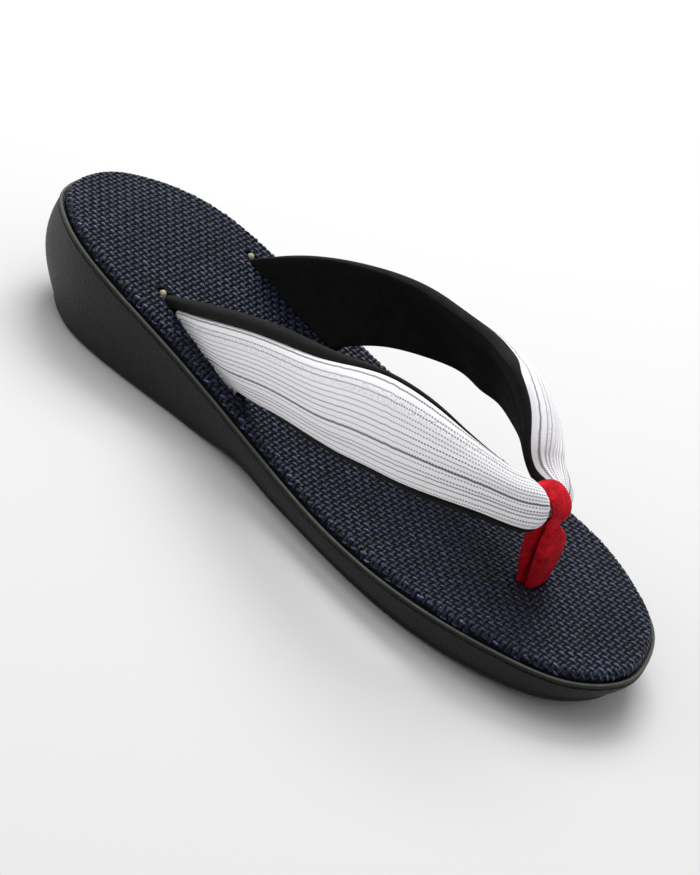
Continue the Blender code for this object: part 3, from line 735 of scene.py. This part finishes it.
def weaveTree():
    # every point gets one arched float of yarn, closed underneath
    tree = bpy.data.node_groups.new("wovenFloats", "GeometryNodeTree")
    for name, kind, way in (("Geometry", "NodeSocketGeometry",
                             "INPUT"), ("Crown", "NodeSocketFloat", "INPUT"),
                            ("Shoulder", "NodeSocketFloat",
                             "INPUT"), ("Yarn", "NodeSocketMaterial", "INPUT"),
                            ("Geometry", "NodeSocketGeometry", "OUTPUT")):
        tree.interface.new_socket(name=name, in_out=way, socket_type=kind)
    into = addNode(tree, "NodeGroupInput")
    block = addNode(tree, "GeometryNodeMeshCube",
                    links={"Size": (1, 1, 1), "Vertices X": 5, "Vertices Y": 3, "Vertices Z": 2})
    where = addNode(tree, "ShaderNodeSeparateXYZ",
                    links={0: addNode(tree, "GeometryNodeInputPosition").outputs[0]})
    x, y, z = where.outputs
    arch = math(tree, "MULTIPLY", math(tree, "COSINE", math(tree, "MULTIPLY", x, pi)),
                into.outputs["Crown"])
    side = math(tree, "MULTIPLY", math(tree, "MULTIPLY", math(tree, "MULTIPLY", y, y), 4.0),
                into.outputs["Shoulder"])
    narrow = math(tree, "SUBTRACT", 1.0,
                  math(tree, "MULTIPLY", math(tree, "MULTIPLY", x, x), weave["taper"]))
    top = math(tree, "SUBTRACT", arch, side)
    isTop = math(tree, "GREATER_THAN", z, 0.0)
    height = math(tree, "SUBTRACT", math(tree, "MULTIPLY", isTop, math(tree, "ADD", top, weave["body"])),
                  weave["body"])
    shaped = addNode(tree, "ShaderNodeCombineXYZ",
                     links={0: x, 1: math(tree, "MULTIPLY", y, narrow), 2: height})
    moved = addNode(tree, "GeometryNodeSetPosition",
                    links={"Geometry": block.outputs["Mesh"], "Position": shaped.outputs[0]})
    marked = addNode(tree, "GeometryNodeStoreNamedAttribute", {"data_type": "FLOAT", "domain": "POINT"},
                     {"Geometry": moved.outputs[0], "Name": "side", "Value": y})
    named = {key: addNode(tree, "GeometryNodeInputNamedAttribute", {"data_type": "FLOAT_VECTOR"},
                          {"Name": key}).outputs["Attribute"]
             for key in ("facing", "run", "size")}
    upright = addNode(tree, "FunctionNodeAlignRotationToVector", {"axis": "Z"}, {"Vector": named["facing"]})
    turned = addNode(tree, "FunctionNodeAlignRotationToVector", {"axis": "X", "pivot_axis": "Z"},
                     {"Rotation": upright.outputs[0], "Vector": named["run"]})
    spread = addNode(tree, "GeometryNodeInstanceOnPoints",
                     links={"Points": into.outputs["Geometry"], "Instance": marked.outputs[0],
                            "Rotation": turned.outputs[0], "Scale": named["size"]})
    real = addNode(tree, "GeometryNodeRealizeInstances", links={"Geometry": spread.outputs[0]})
    smooth = addNode(tree, "GeometryNodeSetShadeSmooth", links={"Geometry": real.outputs[0]})
    finished = addNode(tree, "GeometryNodeSetMaterial",
                       links={"Geometry": smooth.outputs[0], "Material": into.outputs["Yarn"]})
    addNode(tree, "NodeGroupOutput", links={0: finished.outputs[0]})
    return tree


def makeYarns(name, rows, tree, material):
    mesh = bpy.data.meshes.new(name + "_points")
    mesh.from_pydata([tuple(row[0]) for row in rows], [], [])
    for key, column in (("facing", 1), ("run", 2), ("size", 3)):
        layer = mesh.attributes.new(key, "FLOAT_VECTOR", "POINT")
        layer.data.foreach_set("vector", np.array([row[column] for row in rows], np.float32).ravel())
    layer = mesh.attributes.new("tint", "FLOAT", "POINT")
    layer.data.foreach_set("value", np.array([row[4] for row in rows], np.float32))
    source = bpy.data.objects.new(name + "_source", mesh)
    bpy.context.collection.objects.link(source)
    modifier = source.modifiers.new("weave", "NODES")
    modifier.node_group = tree
    inputs = {"Crown": 1.0, "Shoulder": weave["shoulder"], "Yarn": material}
    for item in tree.interface.items_tree:
        if item.in_out == "INPUT" and item.name in inputs:
            modifier[item.identifier] = inputs[item.name]
    result = meshOf(source)
    bpy.data.objects.remove(source, do_unlink=True)
    piece = bpy.data.objects.new(name, result)
    bpy.context.collection.objects.link(piece)
    return piece


weaveRows = weavePoints()
yarnTree = weaveTree()
for name, lengthwise, material in (("weave_lengthwise", True, lengthYarn),
                                   ("weave_crosswise", False, crossYarn)):
    yarns = makeYarns(name, weaveRows[lengthwise], yarnTree, material)
    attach(yarns, "root")
    print(name, len(weaveRows[lengthwise]), "floats,",
          sum(len(p.vertices) - 2 for p in yarns.data.polygons), "triangles")
for cutter in cutters:
    bpy.data.objects.remove(cutter, do_unlink=True)
print("insole ready")


# Strap. Rows from slit to crossing: along, out, up, width, lean, rake, bow, plump, belly
outerRows = [(0.367, 0.485, 0.45, 1.22, 32, 61, 0.15, 0.7, 0),
             (0.436, 0.548, 0.71, 1.17, 32, 51, 0.4, 0.9, 0.05),
             (0.511, 0.556, 0.89, 1.05, 31, 35, 0.75, 1, 0.15),
             (0.562, 0.513, 0.94, 0.99, 31, 19, 0.9, 1, 0.3),
             (0.604, 0.466, 0.98, 0.98, 33, 8, 1, 1, 0.4),
             (0.644, 0.363, 1.0, 1.09, 35, 4, 1, 1, 0.5),
             (0.68, 0.243, 1.01, 1.11, 33, 5, 1.05, 1.05, 0.65),
             (0.724, 0.106, 0.9, 0.94, 32, 4, 1.1, 1.05, 0.75),
             (0.766, -0.019, 0.78, 0.62, 43, 22, 0.85, 1.05, 0.25),
             (0.786, -0.038, 0.75, 0.53, 50, 39, 0.6, 0.9, 0),
             (0.812, -0.163, 0.78, 0.3, 10, 49, 0.2, 0.5, 0)]
crossingRow = (0.816, 0.273, 0.79, 0.28, -2, 45, 0.15, 0.5, 0)
innerRows = [(0.39, 0.677, 0.29, 1.38, 13, 71, 0.2, 0.7, 0),
             (0.502, 0.799, 0.67, 1.14, 9, 49, 0.55, 0.9, 0),
             (0.565, 0.841, 0.81, 1.07, 8, 41, 0.8, 1, 0.2),
             (0.62, 0.878, 0.94, 1.05, 7, 35, 0.85, 1, 0.35),
             (0.671, 0.894, 1.02, 1.05, 5, 33, 0.85, 1, 0.45),
             (0.715, 0.868, 1.04, 0.95, 5, 31, 0.85, 1, 0.55),
             (0.763, 0.757, 0.98, 0.77, 7, 34, 0.85, 1, 0.7),
             (0.796, 0.59, 0.88, 0.62, 7, 36, 0.8, 1.05, 0.7),
             (0.808, 0.466, 0.82, 0.51, 4, 42, 0.85, 1.1, 0.4),
             (0.814, 0.37, 0.79, 0.3, 6, 46, 0.2, 0.5, 0)]


def rowCentre(row, side):
    y = sole["length"] * row[0]
    return np.array([side * sole["width"] / 2 * row[1], y, float(insoleTop(y)) + strap["rise"] * row[2]])


def rowHalf(row, side):
    lean, rake = radians(row[4]), radians(row[5])
    return strap["width"] * row[3] / 2 * np.array([-side * sin(lean) * cos(rake), -sin(rake),
                                                   cos(lean) * cos(rake)])


def strapSections():
    rows = [(row,
             outer) for row in outerRows] + [(crossingRow,
                                              inner)] + [(row, inner) for row in innerRows[::-1]]
    centres = np.array([slitCentre(outer)] + [rowCentre(*row) for row in rows] + [slitCentre(inner)])
    halves = np.array([slitHalf(outer)] + [rowHalf(*row) for row in rows] + [slitHalf(inner)])
    bows = [0] + [strap["bow"] * row[6] for row, side in rows] + [0]
    plumps = [rows[0][0][7]] + [row[7] for row, side in rows] + [rows[-1][0][7]]
    bellies = [0] + [row[8] for row, side in rows] + [0]
    knots = np.concatenate([[0], np.cumsum(np.linalg.norm(np.diff(centres, axis=0), axis=1))])
    centreAt, halfAt = smoothThrough(knots, centres), smoothThrough(knots, halves)
    crossing, end = knots[len(outerRows) + 1], knots[-1]
    place = np.linspace(0, end, strap["sections"])
    centre, half = centreAt(place), halfAt(place)
    travel = centreAt(np.minimum(place + 1e-4, end)) - centreAt(np.maximum(place - 1e-4, 0))
    outward = unit(np.cross(half, travel))
    reach = np.linalg.norm(np.cross(half, unit(travel)), axis=1)
    for side, start in ((outer, 0.0), (inner, end)):
        share = ease(np.abs(place - start) / (0.4 * slit["length"]))[:, None]
        outward = unit(share * outward + (1 - share) * slitOutward(side))
    far = np.abs(place - crossing) / np.where(place < crossing, crossing, end - crossing)
    neck = strap["neckBorder"]
    swell = (1 - neck) * ease(far / strap["neckSpan"]) * ease((1 - far) / strap["rootSpan"])
    front = strap["frontBorder"] * (neck + swell)
    narrow = np.where(place < crossing, strap["narrowSpan"][outer], strap["narrowSpan"][inner])
    widening = np.where(place < crossing, strap["wideningSpan"][outer], strap["wideningSpan"][inner])
    rear = strap["rearBorder"] * (neck + (1 - neck) * ease((far - narrow) / widening))
    sections = dict(centre=centre, half=half, outward=outward, place=place, fromNeck=place - crossing,
                    front=front, rear=rear, reach=reach, plump=smoothThrough(knots, plumps)(place),
                    bow=np.maximum(smoothThrough(knots, bows)(place), 0),
                    belly=np.maximum(smoothThrough(knots, bellies)(place), 0))
    # tails down the slits
    for key, values in sections.items():
        sections[key] = np.concatenate([values[:1], values, values[-1:]])
    for index in (0, -1):
        sections["centre"][index] = sections["centre"][index] - np.array([0, 0, slit["tailDepth"]])
    return sections


sections = strapSections()
# creases and ridges: where each starts and ends, in metres from the crossing (minus on the outer arm)
# and in shares across, then its half width and its height
# hollow along the front edge, past the slit
coverCreases = [(0.088, -0.72, 0.066, -0.80, 2.4 * mm, -0.8 * mm),
                (0.052, 0.45, 0.022, 0.25, 2.2 * mm, -0.35 * mm),
                (0.034, -0.35, 0.012, -0.15, 1.6 * mm, -0.4 * mm),
                (0.030, 0.75, 0.010, 0.45, 1.5 * mm, -0.4 * mm),
                (0.070, 0.80, 0.048, 0.70, 2.0 * mm, 0.4 * mm),
                (-0.012, 0.30, -0.040, 0.45, 1.8 * mm, -0.45 * mm),
                (-0.010, -0.40, -0.030, -0.30, 1.8 * mm, -0.4 * mm)]
liningCreases = [(-0.030, 0.10, -0.085, 0.20, 2.2 * mm, -1.0 * mm),  # long crease inside the outer strap
                 (-0.050, -0.45, -0.095, -0.40, 2.5 * mm, 0.6 * mm),
                 (0.030, 0.10, 0.080, 0.05, 2.2 * mm, -0.8 * mm)]


def creaseHeights(table, share, faceReach):
    # soft troughs and ridges drawn as a height for each section and share
    along = sections["fromNeck"][:, None]
    acrossPlace = share * faceReach[:, None]
    total = np.zeros(np.broadcast(along, acrossPlace).shape)
    for startAlong, startShare, endAlong, endShare, halfWidth, height in table:
        middleReach = np.interp((startAlong + endAlong) / 2, sections["fromNeck"], faceReach)
        a = np.array([startAlong, startShare * middleReach])
        b = np.array([endAlong, endShare * middleReach])
        run = b - a
        t = np.clip(((along - a[0]) * run[0] + (acrossPlace - a[1]) * run[1]) / (run @ run), 0, 1)
        away = np.hypot(along - a[0] - t * run[0], acrossPlace - a[1] - t * run[1])
        fade = np.sin(pi * np.clip(t * 0.9 + 0.05, 0, 1)) ** 0.5
        total = total + height * fade * np.exp(-(away / halfWidth) ** 2)
    return total


def coverShares():
    front = (sections["front"] + clearance) / sections["reach"]
    rear = (sections["rear"] + clearance) / sections["reach"]
    return -1 + front, 1 - rear


def sectionPoints(share, height):
    # share and height hold one row for each section
    arch = sections["bow"][:, None] * (1 - share * share)
    return (sections["centre"][:, None] + sections["half"][:, None] * share[..., None]
            + sections["outward"][:, None] * (arch + height)[..., None])


def coverRings():
    front, rear = coverShares()
    middle, half = (front + rear) / 2, (rear - front) / 2
    full = strap["cover"] * sections["plump"]
    edge = full * 0.3
    s = np.sin(np.radians(np.linspace(-90, 90, 61)))
    crown = (1 - np.abs(s) ** 2.6) ** 0.5
    height = clearance + edge[:, None] + (full - edge)[:, None] * crown
    share = middle[:, None] + half[:, None] * s
    # gathers that run into the loop
    near = np.exp(-(np.abs(sections["fromNeck"]) / (11 * mm)) ** 2)[:, None]
    height = height + near * crown * 0.22 * mm * np.sin(s * 15 + 0.7 * np.sin(s * 4))
    height = height + creaseHeights(coverCreases, s[None, :], half * sections["reach"]) * crown
    bed = np.linspace(1, 0, 13)[None, :]
    bedShare = front[:, None] + (rear - front)[:, None] * bed
    bedHeight = np.full(bedShare.shape, clearance)
    shares = np.concatenate([share, bedShare], 1)
    u = np.concatenate([np.broadcast_to((s + 1) / 2, share.shape), np.broadcast_to(bed, bedShare.shape)], 1)
    return sectionPoints(shares, np.concatenate([height, bedHeight], 1)), u, half * sections["reach"] * 2


def liningRings():
    front, rear = coverShares()
    gap = clearance / sections["reach"]
    frontBorder, rearBorder = front - gap + 1, 1 - gap - rear
    frontPiping = strap["piping"] * 0.6 * sections["front"] / strap["frontBorder"]
    rearPiping = strap["piping"] * sections["rear"] / strap["rearBorder"]
    t = np.linspace(0.03, 0.95, 12)
    roll = (1 - np.abs(2 * t - 1) ** 2.4) ** 0.5
    shares = [-1 + frontBorder[:, None] * t]
    heights = [frontPiping[:, None] * roll]
    bed = np.linspace(0, 1, 13)
    shares.append(front[:, None] + (rear - front)[:, None] * bed)
    heights.append(np.zeros(shares[-1].shape))
    shares.append(1 - rearBorder[:, None] * t[::-1])
    heights.append(rearPiping[:, None] * roll[::-1])
    turn = np.linspace(85, -85, 41)
    inside = np.sin(np.radians(turn))
    shares.append(np.broadcast_to(inside, (len(front), len(turn))))
    rim = (1 - np.abs(inside) ** 8) ** 0.5
    swell = strap["belly"] * sections["belly"][:, None] * (1 - inside ** 2)
    under = -strap["lining"] * (0.5 + 0.5 * rim) - swell
    heights.append(under - creaseHeights(liningCreases, inside[None, :], sections["reach"]) * rim)
    return sectionPoints(np.concatenate(shares, 1), np.concatenate(heights, 1))


def addCloth(piece, rings, u, width):
    # the cloth's own map: share across, and metres along
    columns = rings.shape[1]
    uValues, vValues = u.ravel(), np.repeat(sections["place"], columns)
    layer = piece.data.uv_layers.new(name="cloth")
    corners = np.zeros(len(piece.data.loops), np.int32)
    piece.data.loops.foreach_get("vertex_index", corners)
    layer.data.foreach_set("uv",
                           np.stack([uValues[corners], vValues[corners]], -1).astype(np.float32).ravel())
    attribute = piece.data.attributes.new("clothWidth", "FLOAT", "POINT")
    attribute.data.foreach_set("value", np.repeat(width, columns).astype(np.float32))


rings, u, width = coverRings()
cover = ringsMesh("strap_cover_cloth", placeIt(rings), stripedCotton)
addCloth(cover, rings, u, width)
soften(cover, 60)
dress(cover, ["strap_cover"])
lining = ringsMesh("strap_lining_felt", placeIt(liningRings()), blackFelt)
soften(lining, 60)
dress(lining, ["strap_lining"])
print("strap ready")

# Toe loop: rows up each leg are share of the rise, thickness and width
legRows = [(0, .66, .88), (.30, .88, 1), (.62, 1.02, 1.06), (.81, .98, 1.03), (.92, .74, .86),
           (1, .32, .60)]


def neckPoints():
    # strap points within the loop's width, seen from the side
    middle = sole["width"] / 2 * crossingRow[1]
    reach = loop["wrapWidth"] / 2 + clearance
    points = np.concatenate([coverRings()[0].reshape(-1, 3), liningRings().reshape(-1, 3)])
    return points[np.abs(points[:, 0] - middle) < reach][:, 1:]


def loopSections():
    foot, neck = thongFoot(), neckPoints()
    topX = sole["width"] / 2 * crossingRow[1]
    frontEdge = (rowCentre(crossingRow, inner) - rowHalf(crossingRow, inner))[1]
    pinch = np.array([frontEdge, neck[:, 1].min() - loop["pinchDrop"] - clearance])
    legs = {}
    for side in (1, -1):
        bottom = loop["legThickness"] * legRows[0][1]
        legs[side] = [(foot + np.array([0, side * (loop["legGap"] + bottom) / 2, -slit["tailDepth"]]),
                       bottom, loop["legWidth"] * legRows[0][2])]
        for up, thick, wide in legRows:
            thickness = loop["legThickness"] * thick
            place = np.array([foot[0] + (topX - foot[0]) * up,
                              foot[1] + (pinch[0] - foot[1]) * up + side * (loop["legGap"] + thickness) / 2,
                              foot[2] + (pinch[1] - foot[2]) * up])
            legs[side].append((place, thickness, loop["legWidth"] * wide))
    wrap = []
    for turn in range(-20, 221, 20):
        facing = np.array([cos(radians(turn)), sin(radians(turn))])
        y, z = neck[np.argmax(neck @ facing)] + facing * (clearance + loop["wrapThickness"] / 2)
        wrap.append((np.array([topX, y, z]), loop["wrapThickness"], loop["wrapWidth"]))
    return legs[1] + wrap + legs[-1][::-1]


def makeToeLoop():
    path = loopSections()
    places = np.array([p for p, t, w in path])
    knots = np.concatenate([[0], np.cumsum(np.linalg.norm(np.diff(places, axis=0), axis=1))])
    placeAt, thickAt, wideAt = (smoothThrough(knots,
                                              values) for values in (places, [t for p, t, w in path],
                                                                     [w for p, t, w in path]))
    steps = np.linspace(0, knots[-1], 190)
    place, thick, wide = placeAt(steps), thickAt(steps), wideAt(steps)
    run = placeAt(np.minimum(steps + 2e-4, knots[-1])) - placeAt(np.maximum(steps - 2e-4, 0))
    run = unit(run[:, 1:])
    outward = np.column_stack([np.zeros(len(run)), run[:, 1], -run[:, 0]])
    section = np.array(roundedSquare(44, 0.72))
    rings = (place[:, None] + np.array([1.0, 0, 0]) * (section[:, 0] * wide[:, None] / 2)[..., None]
             + outward[:, None] * (section[:, 1] * thick[:, None] / 2)[..., None])
    return ringsMesh("toe_loop_felt", placeIt(rings), redFelt)


toeLoop = makeToeLoop()
soften(toeLoop, 60)
dress(toeLoop, ["toe_loop"])
print("toe loop ready")


# Anchor cords: three strands twisted together, ending in a blunt tip behind each slit
def makeAnchorCord(side, name):
    half = slitHalf(side)
    foot = slitCentre(side) + half * (1 + (clearance + cordSizes["diameter"] / 2) / np.linalg.norm(half))
    foot = foot + slitOutward(side) * (strap["cover"] - strap["lining"] + clearance) / 2
    radius = cordSizes["diameter"] / 2
    levels = list(np.linspace(-slit["tailDepth"], cordSizes["reach"] - radius, 18))
    levels += [cordSizes["reach"] - radius + radius * sin(radians(t)) for t in (20, 40, 60, 78)]
    shares = [1.0] * 18 + [cos(radians(t)) for t in (20, 40, 60, 78)]
    turn = np.arange(36) * 2 * pi / 36
    rings = []
    for level, share in zip(levels, shares):
        lobes = 1 - 0.14 * (0.5 + 0.5 * np.cos(3 * (turn - level / (1.4 * mm))))
        reach = radius * share * lobes
        rings.append(np.column_stack([foot[0] + reach * np.cos(turn), foot[1] + reach * np.sin(turn),
                                      np.full(36, foot[2] + level)]))
    piece = ringsMesh(name, placeIt(np.array(rings)), cordMaterial)
    dress(piece, [name.replace("_twist", "")])


makeAnchorCord(inner, "anchor_cord_inner_twist")
makeAnchorCord(outer, "anchor_cord_outer_twist")
print("cords ready")


# Studio: pale floor, one big soft light from behind the left, and soft fills
studio = dict(floor="#cfcfce", keyPower=17.0, fillPower=2.5, topPower=9.0, world=0.6)


def makeStudio():
    material, tree, shader = newMaterial("paleFloor", Roughness=0.9, Specular_IOR_Level=0.1)
    shader.inputs["Base Color"].default_value = linear(studio["floor"])
    floor = makeMesh("floor", [(-3, -3, 0), (3, -3, 0), (3, 3, 0), (-3, 3, 0)], [(0, 1, 2, 3)], material)
    world = bpy.data.worlds.new("softRoom")
    world.use_nodes = True
    background = world.node_tree.nodes["Background"]
    background.inputs[0].default_value = linear("#fbfbfd")
    background.inputs[1].default_value = studio["world"]
    bpy.context.scene.world = world


def addLight(name, place, target, size, power):
    data = bpy.data.lights.new(name, "AREA")
    data.shape, data.size, data.energy = "SQUARE", size, power
    light = bpy.data.objects.new(name, data)
    light.location = place
    light.rotation_euler = (Vector(target) - Vector(place)).to_track_quat("-Z", "Y").to_euler()
    bpy.context.collection.objects.link(light)


camera = dict(
    place=(0.57279, 0.34229,
           0.38104), forward=(-0.72739, -0.45488, -0.5138), up=(-0.20781, -0.56757, 0.79667),
    photoFocal=1850.0, photoHeight=875,  # pixels
    aimX=61.0, aimY=-47.5,  # pixels from the photograph's middle to the shoe's
    closer=1.34,
)


def makeCamera():
    forward, up = Vector(camera["forward"]), Vector(camera["up"])
    right = forward.cross(up)
    aim = right * camera["aimX"] / camera["photoFocal"] - up * camera["aimY"] / camera["photoFocal"]
    forward = (forward + aim).normalized()
    right = forward.cross(up).normalized()
    up = right.cross(forward)
    data = bpy.data.cameras.new("camera")
    data.sensor_width = 36
    data.lens = camera["photoFocal"] * camera["closer"] / camera["photoHeight"] * data.sensor_width
    data.clip_start, data.clip_end = 0.01, 20
    shot = bpy.data.objects.new("camera", data)
    shot.matrix_world = Matrix.Translation(camera["place"]) @ Matrix((right, up,
                                                                      -forward)).transposed().to_4x4()
    bpy.context.collection.objects.link(shot)
    bpy.context.scene.camera = shot


bpy.context.scene.view_settings.view_transform = "Standard"  # the photograph's own plain contrast
makeStudio()
addLight("key", (-0.7, -0.6, 1.15), (0, 0, 0.02), 0.9, studio["keyPower"])
addLight("fill", (0.7, -1.0, 0.6), (0, -0.05, 0.02), 0.8, studio["fillPower"])
addLight("overhead", (0.0, -0.3, 1.5), (0, 0, 0), 1.4, studio["topPower"])
makeCamera()
print("studio ready")
